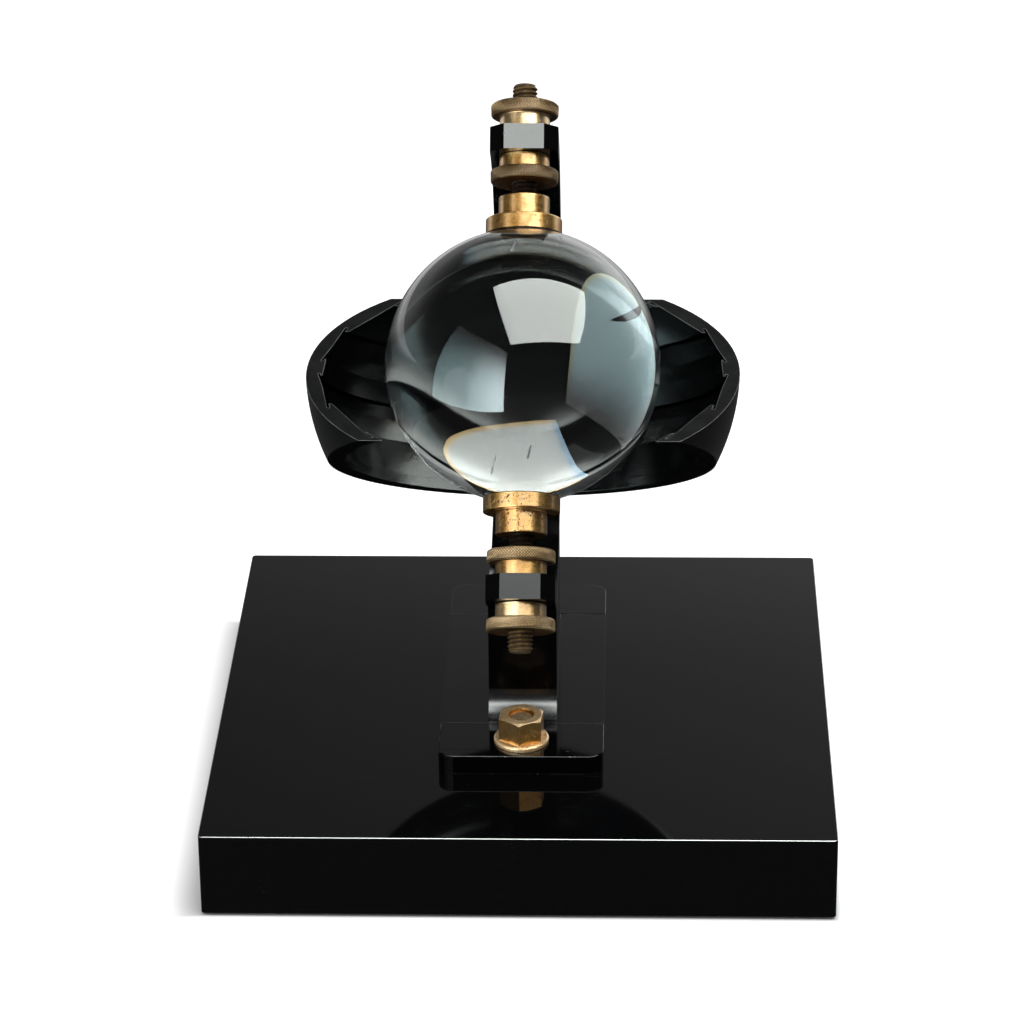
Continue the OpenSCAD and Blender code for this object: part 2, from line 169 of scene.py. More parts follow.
class Net:  # a node tree, what it belongs to, and the one method that adds any node to it
    def __init__(self, tree, owner=None):
        self.tree, self.owner = tree, owner

    def add(self, kind, settings=None, values=None, out=0):
        node = self.tree.nodes.new(kind)
        for name, value in (settings or {}).items():
            if name == "stops":
                while len(node.color_ramp.elements) < len(value):
                    node.color_ramp.elements.new(0.5)
                for stop, (place, shade) in zip(node.color_ramp.elements, value):
                    stop.position, stop.color = place, shade
            else:
                setattr(node, name, value)
        pairs = values.items() if isinstance(values, dict) else enumerate(values or ())
        for name, value in pairs:
            if isinstance(value, Wire):
                self.tree.links.new(value.socket, node.inputs[name])
            elif value is not None:
                node.inputs[name].default_value = value
        return Wire(self, node.outputs[out]) if len(node.outputs) else None

    def maths(self, operation, *values, clamp=False):
        return self.add("ShaderNodeMath", {"operation": operation, "use_clamp": clamp}, values)

    def vector(self, operation, *values, out=0):
        return self.add("ShaderNodeVectorMath", {"operation": operation}, values, out=out)

    def length(self, vector):
        return self.vector("LENGTH", vector, out=1)

    def parts(self, vector):  # x, y and z
        first = self.add("ShaderNodeSeparateXYZ", {}, [vector])
        return [Wire(self, socket) for socket in first.socket.node.outputs]

    def mixed(self, low, high, share, how="MIX"):  # two colours
        return self.add("ShaderNodeMix", {"data_type": "RGBA", "blend_type": how, "clamp_factor": True},
                        {0: share, 6: low, 7: high}, out=2)

    def noise(self, place, scale, detail=2.0, rough=0.5):
        return self.add("ShaderNodeTexNoise", {},
                        {"Vector": place, "Scale": scale, "Detail": detail, "Roughness": rough})

    def patches(self, place, scale, low, high, detail=2.0, rough=0.5):  # 1 where the noise is high
        return self.noise(place, scale, detail, rough).step(low, high)

    def streaks(self, place, scales, detail=2.0, rough=0.5):  # noise with its own scale along each axis
        return self.noise(self.vector("MULTIPLY", place, scales), 1.0, detail, rough)

    def cells(self, place, scale, feature="F1"):
        return self.add("ShaderNodeTexVoronoi", {"feature": feature}, {"Vector": place, "Scale": scale})

    def spots(self, place, scale, size, soft):  # a round spot in each cell
        return (size - self.cells(place, scale)).step(0.0, soft)

    def bump(self, height, strength, distance, under=None):
        return self.add("ShaderNodeBump", {},
                        {"Height": height, "Strength": strength, "Distance": distance, "Normal": under})


def emptyMaterial(name):
    material = bpy.data.materials.new(name)
    material.use_nodes = True
    material.node_tree.nodes.clear()
    return Net(material.node_tree, material)


def finishMaterial(net, sockets):
    net.add("ShaderNodeOutputMaterial", {}, {"Surface": net.add("ShaderNodeBsdfPrincipled", {}, sockets)})
    return net.owner


def objectPlace(net):
    return net.add("ShaderNodeTexCoord", out="Object")


def turnedPlace(net, matrix):  # coordinates in a turned frame, so that a pattern follows a lathe's axis
    back = matrix.inverted()
    return net.add("ShaderNodeMapping", {"vector_type": "POINT"},
                   {"Vector": objectPlace(net), "Location": back.to_translation(), "Rotation": back.to_euler("XYZ")})


# materials: a named finish gives its roughness, its index of refraction and, for lacquer, how far it is rubbed through
lacquerLook = {"colour": colour(0.0015, 0.0016, 0.0019), "dust": colour(0.09, 0.09, 0.093), "peel": 55.0,
               "blackLacquer": (0.045, 1.42, 0.0), "lacquerArris": (0.28, 4.0, 0.7)}


def makeLacquer(spec, name):
    net = emptyMaterial(name)
    rough, ior, rubbed = spec[name]
    place = objectPlace(net)
    speck = net.spots(place, 900.0, 0.11, 0.05) * net.patches(place, 60.0, 0.58, 0.66)
    hairline = net.streaks(place, (30.0, 900.0, 30.0), 1.0).step(0.70, 0.76) * net.patches(place, 25.0, 0.5, 0.62)
    smear = net.patches(place, 14.0, 0.42, 0.75, 4.0, 0.6)
    mark = (speck * 0.8 + hairline * 0.10).clamped()
    if rubbed:  # in small spots
        worn = net.patches(place, 260.0, 0.60, 0.68, 4.0, 0.7) * net.patches(place, 30.0, 0.5, 0.6)
        mark = (mark + worn * rubbed).clamped()
    return finishMaterial(net, {
        "Base Color": net.mixed(spec["colour"], spec["dust"], mark),
        "Roughness": rough + smear * 0.035 + mark * 0.3,
        "IOR": ior,
        "Normal": net.bump(net.noise(place, spec["peel"], 1.0), 0.02, 0.0002),
    })


enamelLook = {"colour": colour(0.0012, 0.0012, 0.0014), "bare": colour(0.16, 0.165, 0.16),
              "plateEnamel": (0.06, 1.46), "barEnamel": (0.12, 1.46), "dullFacet": (0.30, 1.36),
              "postEnamel": (0.2, 1.22), "filletEnamel": (0.25, 1.66), "enamelEdge": (0.12, 1.7),
              "plateArris": (0.12, 1.3), "chipAt": (-6.9, -13.0, 84.6), "chipSize": 1.5, "chipRagged": 1.2}


def makeEnamel(spec, name, worn=False, chipped=False):
    net = emptyMaterial(name)
    rough, ior = spec[name]
    place = objectPlace(net)
    smear = net.patches(place, 28.0, 0.4, 0.75, 4.0, 0.6)
    if worn:
        rub = net.patches(place, 420.0, 0.61, 0.67, 3.0, 0.7) * net.patches(place, 45.0, 0.4, 0.65)
        wear = (rub + 0.13 * net.patches(place, 160.0, 0.45, 0.6)).clamped()
    else:
        wear = net.spots(place, 1100.0, 0.1, 0.05) * net.patches(place, 90.0, 0.6, 0.68) * 0.4
    if chipped:  # one chip in the arc's upper end, placed in the polar frame
        middle = tuple(c * mm for c in spec["chipAt"])
        apart = net.length(net.vector("SUBTRACT", turnedPlace(net, polar), middle)) / mm
        chip = (spec["chipSize"] - apart - net.noise(place, 900.0) * spec["chipRagged"]).step(0.0, 0.25)
        wear = (wear + chip * 0.6).clamped()
    return finishMaterial(net, {
        "Base Color": net.mixed(spec["colour"], spec["bare"], wear),
        "Roughness": rough + smear * 0.05 + wear * 0.35,
        "IOR": ior,
        "Normal": net.bump(net.noise(place, 130.0), 0.05, 0.0002),
    })


bowlLook = {"colour": colour(0.0012, 0.0013, 0.0015), "scuffed": colour(0.003, 0.0034, 0.0038),
            "outside": 0.28, "inside": 0.165, "insideFrom": (79.6, 78.8), "ior": 1.38,
            "blackSatinEnd": (colour(0.0018, 0.0018, 0.002), colour(0.0085, 0.0085, 0.009), 1.12),
            "blackSatinArris": (grey(0.045), grey(0.17), 1.45)}


def makeBowlPaint(spec):
    net = emptyMaterial("blackSatin")
    place = turnedPlace(net, polar)
    within = (net.length(place) / mm).step(*spec["insideFrom"])  # 1 inside the outer surface
    rings = net.streaks(place, (25.0, 25.0, 1600.0), 3.0, 0.65)
    scuff = net.patches(place, 40.0, 0.5, 0.8, 5.0, 0.65)
    rough = spec["outside"] + within * (spec["inside"] - spec["outside"])
    return finishMaterial(net, {
        "Base Color": net.mixed(spec["colour"], spec["scuffed"], scuff),
        "Roughness": rough + scuff * 0.015 + rings.step(0.50, 0.75) * 0.05,
        "IOR": spec["ior"],
        "Normal": net.bump(rings, 0.01, 0.0001, net.bump(net.noise(place, 90.0), 0.006, 0.0003)),
    })


# for the end faces the two greys are plain and worn paint; for the eased edge both are a painted highlight
def makeBowlEnd(spec, name):
    net = emptyMaterial(name)
    plain, worn, ior = spec[name]
    place = objectPlace(net)
    grain = net.noise(place, 420.0, 5.0, 0.7)
    patch = net.patches(place, 95.0, 0.35, 0.7, 3.0, 0.6)
    return finishMaterial(net, {
        "Base Color": net.mixed(plain, worn, (grain.step(0.45, 0.72) * 0.6 + patch * 0.5).clamped()),
        "Roughness": 0.5 + grain * 0.1,
        "IOR": ior,
        "Normal": net.bump(grain, 0.2, 0.0003),
    })


# brass: two tones that it wavers between, how dull and how pitted it is; the groove colour is a painted shade for the
# bottoms of the knurls' cuts
brassLook = {"tones": (colour(0.78, 0.48, 0.155), colour(0.62, 0.31, 0.065)), "dull": 0.0, "pits": 1.0,
             "tarnish": colour(0.17, 0.08, 0.02), "pit": colour(0.13, 0.05, 0.014),
             "groove": colour(0.05, 0.032, 0.014), "rough": 0.24, "coatRough": 0.14, "coatIor": 1.9}
brassFinishes = {
    "brassTurned": {"pits": 0.35},
    "brassLower": {"pits": 1.8},
    # a lighter copy for the outer nuts' hubs: painted light
    "brassHub": {"pits": 0.2, "tones": (colour(1.0, 0.76, 0.42), colour(0.92, 0.58, 0.24))},
    "brassKnurled": {"dull": 0.6, "pits": 0.3, "tones": (colour(0.98, 0.76, 0.44), colour(0.80, 0.57, 0.28))},
    # darker copies of the knurl for the upper nuts, darkest for the inner one under the arc: painted shade
    "brassKnurledUpper": {"dull": 0.6, "pits": 0.3, "tones": (colour(0.72, 0.53, 0.29), colour(0.55, 0.38, 0.17))},
    "brassKnurledDark": {"dull": 0.6, "pits": 0.3, "tones": (colour(0.40, 0.29, 0.15), colour(0.27, 0.18, 0.075))},
    # near black for the knurled nuts' flat faces: painted shade
    "brassShade": {"dull": 1.3, "tones": (colour(0.03, 0.02, 0.01), colour(0.05, 0.028, 0.01))},
    "brassUpright": {"dull": 0.08, "pits": 0.8, "tones": (colour(1.0, 0.62, 0.20), colour(0.88, 0.44, 0.10))},
    # the washers' own finish, also put on the hex nuts' upward faces, where its lighter colour is painted light
    "brassWasher": {"dull": 0.1, "pits": 0.8, "tones": (colour(0.95, 0.72, 0.42), colour(0.78, 0.54, 0.27)),
                    "rough": 0.46},
}


def grooveShare(net):  # 1 at the bottom of a knurl or thread, 0 on plain metal
    return net.add("ShaderNodeAttribute", {"attribute_name": "groove"}, out="Fac")


def makeBrass(name, matrix):
    spec = dict(brassLook, **brassFinishes[name])
    net = emptyMaterial(name)
    place, dull = turnedPlace(net, matrix), spec["dull"]
    rings = net.streaks(place, (60.0, 60.0, 3600.0), 3.0, 0.75)
    grain = net.streaks(place, (1300.0, 1300.0, 2200.0)).step(0.50, 0.78)
    stain = net.patches(place, 260.0, 0.50, 0.70, 5.0, 0.7)
    small = net.spots(place, 1150.0, 0.30, 0.08) * net.patches(place, 330.0, 0.47, 0.58)
    large = net.spots(place, 620.0, 0.34, 0.08) * net.patches(place, 210.0, 0.52, 0.61)
    pitted = ((small + large) * spec["pits"]).clamped()
    base = net.mixed(*spec["tones"], net.patches(place, 120.0, 0.35, 0.7, 4.0, 0.6))
    base = net.mixed(base, spec["tarnish"], (stain * (0.28 + dull * 0.5) + dull * 0.25).clamped())
    base = net.mixed(base, spec["tarnish"], grain * 0.4)
    base = net.mixed(base, spec["pit"], pitted)
    if dull > 0.5:
        # painted shade: the bottoms of the knurl's cuts are darkened
        base = net.mixed(base, spec["groove"], grooveShare(net).step(0.30, 0.85) * 0.92)
    return finishMaterial(net, {
        "Base Color": base,
        "Metallic": 1.0 - pitted * 0.7,
        "Roughness": spec["rough"] + dull * 0.16 + stain * 0.14 + rings * 0.08 + pitted * 0.3,
        "Coat Weight": (1.0 - stain * 0.5 - pitted).clamped() * max(0.0, 0.9 - dull),
        "Coat Roughness": spec["coatRough"],
        "Coat IOR": spec["coatIor"],
        "Normal": net.bump(-pitted, 0.6, 0.0002, net.bump(rings, 0.3, 0.0001)),
    })


# the last colour and its reach are a painted shade, near black along the polar axis between each cup and its nut
threadLook = {"body": colour(0.40, 0.28, 0.125), "dark": colour(0.06, 0.04, 0.02), "rough": 0.42,
              "crest": (4.2, 4.7), "paintedShade": colour(0.02, 0.013, 0.007), "paintedShadeTo": (68.5, 70.5)}
boltLook = dict(threadLook, body=colour(0.90, 0.70, 0.42), dark=colour(0.24, 0.16, 0.08), rough=0.26, paintedShade=None)


def makeDarkBrass(spec, name, matrix):
    net = emptyMaterial(name)
    place = turnedPlace(net, matrix)
    cloud = net.noise(place, 300.0, 5.0, 0.65)
    crest = (net.length(net.vector("MULTIPLY", place, (1.0, 1.0, 0.0))) / mm).step(*spec["crest"])
    # crests lighter where rubbed; the thread roots kept darker, a painted shade
    rubbed = (crest * 0.65 + cloud.step(0.4, 0.7) * 0.45).clamped() * (1.0 - grooveShare(net) * 0.8)
    base = net.mixed(spec["dark"], spec["body"], rubbed)
    if spec["paintedShade"]:  # painted shade: the thread goes near black between the cup and its nut
        base = net.mixed(spec["paintedShade"], base, abs(net.parts(place)[2] / mm).step(*spec["paintedShadeTo"]))
    return finishMaterial(net, {
        "Base Color": base,
        "Metallic": 0.55 + crest * 0.4,
        "Roughness": spec["rough"] + cloud * 0.2,
        "Normal": net.bump(cloud, 0.2, 0.0002),
    })


steelLook = {"colour": colour(0.42, 0.42, 0.43), "stain": colour(0.16, 0.13, 0.11)}


def makeSteel(spec):
    net = emptyMaterial("screwSteel")
    place = objectPlace(net)
    cloud = net.noise(place, 180.0, 4.0, 0.6)
    return finishMaterial(net, {
        "Base Color": net.mixed(spec["colour"], spec["stain"], cloud.step(0.5, 0.75)),
        "Metallic": 1.0,
        "Roughness": 0.3 + cloud * 0.2,
        "Normal": net.bump(net.streaks(place, (300.0, 300.0, 4000.0)), 0.1, 0.0001),
    })


baizeLook = {"shade": colour(0.012, 0.055, 0.028), "nap": colour(0.028, 0.10, 0.05)}


def makeBaize(spec):
    net = emptyMaterial("greenBaize")
    place = objectPlace(net)
    fibre = net.noise(place, 1400.0, 5.0, 0.75)
    worn = (fibre * 0.6 + net.noise(place, 45.0, 3.0) * 0.5).step(0.4, 0.7)
    return finishMaterial(net, {
        "Base Color": net.mixed(spec["shade"], spec["nap"], worn),
        "Roughness": 0.95,
        "Sheen Weight": 0.35,
        "Normal": net.bump(fibre, 0.6, 0.0004),
    })


leatherLook = {"dark": colour(0.07, 0.036, 0.018), "light": colour(0.15, 0.085, 0.042)}


def makeLeather(spec):
    net = emptyMaterial("padLeather")
    place = objectPlace(net)
    cloud = net.noise(place, 200.0, 4.0)
    crease = net.cells(place, 1600.0, "DISTANCE_TO_EDGE").step(0.0, 0.25)
    return finishMaterial(net, {
        "Base Color": net.mixed(spec["dark"], spec["light"], cloud.step(0.35, 0.7)),
        "Roughness": 0.62 + cloud * 0.1,
        "Normal": net.bump(crease, 0.4, 0.0002),
    })


# each scratch runs along a chord between two places in the polar frame
glassLook = {"ior": 1.53, "tint": colour(0.955, 0.985, 0.978), "scratchReach": 1.05, "wander": 1.1,
             "scratches": [((-1.81, -31.21, 40.04), (-3.41, -37.1, 34.54)),
                           ((13.95, -21.26, 43.98), (13.58, -29.64, 38.96))]}


def makeGlass(spec):
    net = emptyMaterial("clearGlass")
    place, local = objectPlace(net), turnedPlace(net, polar)
    smear = net.patches(place, 35.0, 0.55, 0.85, 5.0, 0.65)
    scratched = None
    for begin, end in spec["scratches"]:
        begin, end = Vector(begin) * mm, Vector(end) * mm
        along = (end - begin).normalized()
        toward = net.vector("SUBTRACT", local, tuple(begin))
        reach = net.vector("DOT_PRODUCT", toward, tuple(along), out=1) / mm
        apart = net.length(net.vector("CROSS_PRODUCT", toward, tuple(along))) / mm
        near = (spec["scratchReach"] - apart - net.noise(place, 700.0) * spec["wander"]).step(0.0, 0.12)
        near = near * reach.step(-0.3, 0.6) * ((end - begin).length / mm - reach).step(-0.3, 0.6)
        scratched = near if scratched is None else scratched.most(near)
    return finishMaterial(net, {
        "Base Color": spec["tint"],
        "Roughness": smear * 0.004 + scratched * 0.7,
        "IOR": spec["ior"],
        "Transmission Weight": 1.0,
    })


lacquer, lacquerArris = (makeLacquer(lacquerLook, name) for name in ("blackLacquer", "lacquerArris"))
plateEnamel, dullFacet, postEnamel, filletEnamel = (
    makeEnamel(enamelLook, name) for name in ("plateEnamel", "dullFacet", "postEnamel", "filletEnamel"))
barEnamel = makeEnamel(enamelLook, "barEnamel", chipped=True)
enamelEdge, plateArris = (makeEnamel(enamelLook, name, worn=True) for name in ("enamelEdge", "plateArris"))
bowlPaint = makeBowlPaint(bowlLook)
bowlEnd, bowlPaintedHighlight = (makeBowlEnd(bowlLook, name) for name in ("blackSatinEnd", "blackSatinArris"))
brassTurned, brassLower, brassHub, brassShade, brassKnurled, brassKnurledUpper, brassKnurledDark = (
    makeBrass("brass" + name, polar)
    for name in ("Turned", "Lower", "Hub", "Shade", "Knurled", "KnurledUpper", "KnurledDark"))
brassUpright, brassWasher = (makeBrass(name, frontBoltAxis) for name in ("brassUpright", "brassWasher"))
darkBrass, seatMetal = (makeDarkBrass(threadLook, name, polar) for name in ("darkBrass", "seatMetal"))
darkBolt = makeDarkBrass(boltLook, "darkBolt", frontBoltAxis)
steel, baize = makeSteel(steelLook), makeBaize(baizeLook)
leather, glass = makeLeather(leatherLook), makeGlass(glassLook)
print("materials made")


# mesh helpers
def meshObject(name, mesh):
    piece = bpy.data.objects.new(name, mesh)
    bpy.context.collection.objects.link(piece)
    return piece


def settled(piece):  # modifiers made plain, everything else kept
    graph = bpy.context.evaluated_depsgraph_get()
    mesh = bpy.data.meshes.new_from_object(piece.evaluated_get(graph))
    piece.modifiers.clear()
    piece.data = mesh
    return piece


def onlyFinish(mesh, *materials):  # the first one all over, the others ready for some faces
    mesh.materials.clear()
    for material in materials:
        mesh.materials.append(material)
    for face in mesh.polygons:
        face.material_index = 0


def smoothed(mesh, crease=32):
    mesh.shade_smooth()
    mesh.set_sharp_from_angle(angle=math.radians(crease))


def placed(work, matrix, mesh):  # normals outward, then into its place
    bmesh.ops.recalc_face_normals(work, faces=work.faces)
    work.transform(matrix)
    work.to_mesh(mesh)
    work.free()


def roundedCopy(name, node, width, faces, edge=None, angle=28, segments=3):
    # the CAD shape with its loose triangles merged and its edges broken
    work = bmesh.new()
    work.from_mesh(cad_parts[node].data)
    bmesh.ops.remove_doubles(work, verts=work.verts, dist=2 * weld)
    bmesh.ops.dissolve_limit(work, angle_limit=math.radians(0.3), verts=work.verts, edges=work.edges)
    mesh = bpy.data.meshes.new(name)
    work.to_mesh(mesh)
    work.free()
    if "custom_normal" in mesh.attributes:
        mesh.attributes.remove(mesh.attributes["custom_normal"])
    onlyFinish(mesh, *([faces, edge] if edge else [faces]))
    piece = meshObject(name, mesh)
    smoothed(mesh, angle)
    bevel = piece.modifiers.new("edges", "BEVEL")
    bevel.width = width * mm
    bevel.segments = segments
    bevel.limit_method = "ANGLE"
    bevel.angle_limit = math.radians(angle)
    bevel.harden_normals = True
    bevel.miter_outer = "MITER_ARC"
    if edge:
        bevel.material = 1
    return settled(piece)


def finished(piece, body, slot, *nodes):
    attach(piece, body)
    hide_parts(*nodes)
    return piece


def cornered(points, steps=4, flat=0.08):  # (x, y, radius) corners turned into short arcs
    out = []
    for i, (x, y, radius) in enumerate(points):
        here = Vector((x, y))
        if radius <= 0:
            out.append(here)
            continue
        back = (Vector(points[i - 1][:2]) - here).normalized()
        on = (Vector(points[(i + 1) % len(points)][:2]) - here).normalized()
        half = back.angle(on) / 2
        reach = radius / math.tan(half)
        centre = here + (back + on).normalized() * radius / math.sin(half)
        first, last = (here + side * reach - centre for side in (back, on))
        begin = math.atan2(first.y, first.x)
        sweep = (math.atan2(last.y, last.x) - begin + math.pi) % (2 * math.pi) - math.pi
        out.append(here + back * (reach + flat))  # the flat beside each arc keeps long faces evenly shaded
        for k in range(steps + 1):
            angle = begin + sweep * k / steps
            out.append(centre + Vector((math.cos(angle), math.sin(angle))) * radius)
        out.append(here + on * (reach + flat))
    return out


def turned(name, profile, matrix, segments, material):  # a lathe piece from a closed (r, z) profile in mm
    mesh = bpy.data.meshes.new(name)
    work = bmesh.new()
    rings = []
    for k in range(segments):
        angle = 2 * math.pi * k / segments
        ring = [(r * math.sin(angle) * mm, -r * math.cos(angle) * mm, z * mm) for r, z in profile]
        rings.append([work.verts.new(point) for point in ring])
    for k in range(segments):
        here, there = rings[k], rings[(k + 1) % segments]
        for i in range(len(profile)):
            j = (i + 1) % len(profile)
            if profile[i][0] < weld and profile[j][0] < weld:  # on the axis
                continue
            work.faces.new((here[i], here[j], there[j], there[i]))
    bmesh.ops.remove_doubles(work, verts=work.verts, dist=weld)
    bmesh.ops.dissolve_degenerate(work, dist=1e-7, edges=work.edges)
    placed(work, matrix, mesh)
    mesh.materials.append(material)
    smoothed(mesh)
    return meshObject(name, mesh)


# Geometry Nodes. A closed profile in the XZ plane goes round the Z axis on a grid: a row of the grid for each point of
# the profile, and a column for each step round the axis.
def startTree(name, inputs):
    tree = bpy.data.node_groups.new(name, "GeometryNodeTree")
    sockets = {"Profile": "Geometry", "Columns": "Int", **inputs, "Finish": "Material"}
    for label, kind in sockets.items():
        tree.interface.new_socket(label, in_out="INPUT", socket_type="NodeSocket" + kind)
    tree.interface.new_socket("Mesh", in_out="OUTPUT", socket_type="NodeSocketGeometry")
    net = Net(tree)
    entry = net.add("NodeGroupInput").socket.node
    given = {label: Wire(net, entry.outputs[label]) for label in sockets}
    index, across = net.add("GeometryNodeInputIndex"), given["Columns"] + 1.0
    row = ((index + 0.5) / across).maths("FLOOR")
    return net, given, row, index - row * across


def ofPoint(net, given, row, name=None, kind="FLOAT_VECTOR"):  # the place, or a named value, of this row's point
    value = (net.add("GeometryNodeInputNamedAttribute", {"data_type": kind}, {"Name": name}) if name
             else net.add("GeometryNodeInputPosition"))
    return net.add("GeometryNodeSampleIndex", {"data_type": kind, "domain": "POINT"},
                   {"Geometry": given["Profile"], "Value": value, "Index": row})


def endTree(net, given, radius, angle, height, groove=None):
    count = net.add("GeometryNodeAttributeDomainSize", {"component": "MESH"}, {"Geometry": given["Profile"]})
    mesh = net.add("GeometryNodeMeshGrid", {}, {"Size X": 1.0, "Size Y": 1.0, "Vertices X": count,
                                                "Vertices Y": given["Columns"] + 1.0})
    point = net.add("ShaderNodeCombineXYZ", {}, [radius * angle.maths("SINE"), radius * angle.maths("COSINE"), height])
    mesh = net.add("GeometryNodeSetPosition", {}, {"Geometry": mesh, "Position": point})
    if groove is not None:
        mesh = net.add("GeometryNodeStoreNamedAttribute", {"data_type": "FLOAT", "domain": "POINT"},
                       {"Geometry": mesh, "Name": "groove", "Value": groove})
    mesh = net.add("GeometryNodeMergeByDistance", {}, {"Geometry": mesh, "Distance": weld})
    mesh = net.add("GeometryNodeRealizeInstances", {}, {"Geometry": mesh})
    mesh = net.add("GeometryNodeSetMaterial", {}, {"Geometry": mesh, "Material": given["Finish"]})
    net.add("NodeGroupOutput", {}, [mesh])
    return net.tree


def makeGripTree():  # knurls and threads
    sizes = dict.fromkeys(("Lines", "Pitch", "Depth", "Crossed"), "Float")
    net, given, row, column = startTree("cutOnLathe", sizes)
    radius, _, height = net.parts(ofPoint(net, given, row))
    grip = ofPoint(net, given, row, "grip", "FLOAT")
    turn = column / given["Columns"]
    along = height / given["Pitch"]

    def ridge(value):  # 0 on a cut line, 1 midway between two
        return 1.0 - abs((value + 1000.0).maths("FRACT") * 2.0 - 1.0)

    one = ridge(turn * given["Lines"] + along)
    both = one.least(ridge(turn * given["Lines"] - along))
    cut = 1.0 - (one + given["Crossed"] * (both - one))
    return endTree(net, given, radius - grip * given["Depth"] * cut, turn * (2 * math.pi), height, grip * cut)


def makeSweepTree():  # the bowl, cut off level at its two ends
    sizes = {"Cut Tilt": "Float", "Cut Drop": "Float", "Ease": "Float", "Ease Steps": "Int"}
    net, given, row, column = startTree("bowlSweep", sizes)
    place, inward = net.parts(ofPoint(net, given, row)), net.parts(ofPoint(net, given, row, "inward"))
    # the last columns at either end draw in, so that the edges of the end faces are eased
    bend = (column.least(given["Columns"] - column) / given["Ease Steps"]).least(1.0) * (math.pi / 2)
    inset = given["Ease"] * (1.0 - bend.maths("SINE"))
    rest = given["Ease"] * bend.maths("COSINE")
    radius, height = (place[k] + inward[k] * inset for k in (0, 2))
    tilt = given["Cut Tilt"]
    cosine = (height * tilt.maths("COSINE") + given["Cut Drop"]) / (radius * tilt.maths("SINE"))
    reach = cosine.least(1.0).most(-1.0).maths("ARCCOSINE")
    share = (column - given["Ease Steps"]) / (given["Columns"] - given["Ease Steps"] * 2.0)
    side = (column - given["Columns"] * 0.5).maths("SIGN")
    angle = (share.clamped() * 2.0 - 1.0) * (reach - given["Ease"] / radius) + side * rest / radius
    return endTree(net, given, radius, angle, height)


gripTree, sweepTree = makeGripTree(), makeSweepTree()


def grown(name, profile, extra, numbers, tree, values):  # profile: (r, z) in mm, and one named value for each point
    mesh = bpy.data.meshes.new(name)
    mesh.from_pydata([(r * mm, 0, z * mm) for r, z in profile], [(i, i + 1) for i in range(len(profile) - 1)], [])
    isVector = len(numbers) > len(profile)
    attribute = mesh.attributes.new(extra, "FLOAT_VECTOR" if isVector else "FLOAT", "POINT")
    attribute.data.foreach_set("vector" if isVector else "value", numbers)
    piece = meshObject(name, mesh)
    modifier = piece.modifiers.new(tree.name, "NODES")
    modifier.node_group = tree
    for item in tree.interface.items_tree:
        if item.item_type == "SOCKET" and item.in_out == "INPUT" and item.name in values:
            modifier[item.identifier] = values[item.name]
    return settled(piece)


def cutOnLathe(name, rows, matrix, settings, *materials):  # rows: (r, z, grip), closed
    rows = list(rows) + [rows[0]]
    piece = grown(name, [row[:2] for row in rows], "grip", [row[2] for row in rows], gripTree,
                  dict(settings, Finish=materials[0]))
    work = bmesh.new()
    work.from_mesh(piece.data)
    placed(work, matrix, piece.data)
    onlyFinish(piece.data, *materials)
    smoothed(piece.data, crease=40)
    return piece


# base
slabShape = {"arris": 1.7, "segments": 6}
baseSlab = roundedCopy("baseSlab", "base_slab", slabShape["arris"], lacquer, lacquerArris,
                       segments=slabShape["segments"])
finished(baseSlab, "stand", "black_lacquer", "base_slab")

plateShape = {"edge": 0.4, "rim": 1.0}
subPlate = roundedCopy("subPlate", "sub_plate", plateShape["edge"], plateEnamel, plateArris)
low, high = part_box("sub_plate")
for face in subPlate.data.polygons:  # only the outer edge is worn
    here = face.center
    if min(here.x - low.x, high.x - here.x, here.y - low.y, high.y - here.y) > plateShape["rim"] * mm:
        face.material_index = 0
finished(subPlate, "stand", "black_enamel", "sub_plate")

pedestalShape = {"edge": 0.4, "footTop": 0.0402, "filletTop": 0.055, "steep": 0.15, "level": 0.985}


def makePedestal(spec):
    piece = roundedCopy("pedestalBlock", "pedestal", spec["edge"], postEnamel, enamelEdge)
    piece.data.materials.append(filletEnamel)
    piece.data.materials.append(plateEnamel)
    for face in piece.data.polygons:
        lean, height = face.normal, face.center.z
        if spec["steep"] < lean.z < spec["level"] and abs(lean.y) > spec["steep"] and height < spec["filletTop"]:
            face.material_index = 2
        if height < spec["footTop"] and (lean.z > spec["level"] or face.material_index == 1):
            face.material_index = 3
    return piece


finished(makePedestal(pedestalShape), "stand", "black_enamel", "pedestal")
print("base made")

# fastenings on the sub-plate
fasteningShape = {"frontNutTurn": -12.0, "nutEdge": 0.22, "washerEdge": 0.2, "crease": 24, "paintedLightAbove": 0.25}
for side in ("front", "rear"):
    nut = roundedCopy(side + "HexNut", side + "_nut", fasteningShape["nutEdge"], brassUpright,
                      angle=fasteningShape["crease"])
    if side == "front":  # as it was tightened
        low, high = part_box("front_nut")
        axis = Matrix.Translation((low + high) / 2)
        turn = Matrix.Rotation(math.radians(fasteningShape["frontNutTurn"]), 4, "Z")
        nut.data.transform(axis @ turn @ axis.inverted())
    nut.data.materials.append(brassWasher)
    for face in nut.data.polygons:  # top and chamfers take the lighter, rougher washer brass: painted light on the upward faces
        if face.normal.z > fasteningShape["paintedLightAbove"]:
            face.material_index = 1
    finished(nut, "stand", "brass", side + "_nut")
    washer = roundedCopy(side + "RoundWasher", side + "_washer", fasteningShape["washerEdge"], brassWasher,
                         angle=fasteningShape["crease"])
    finished(washer, "stand", "brass", side + "_washer")

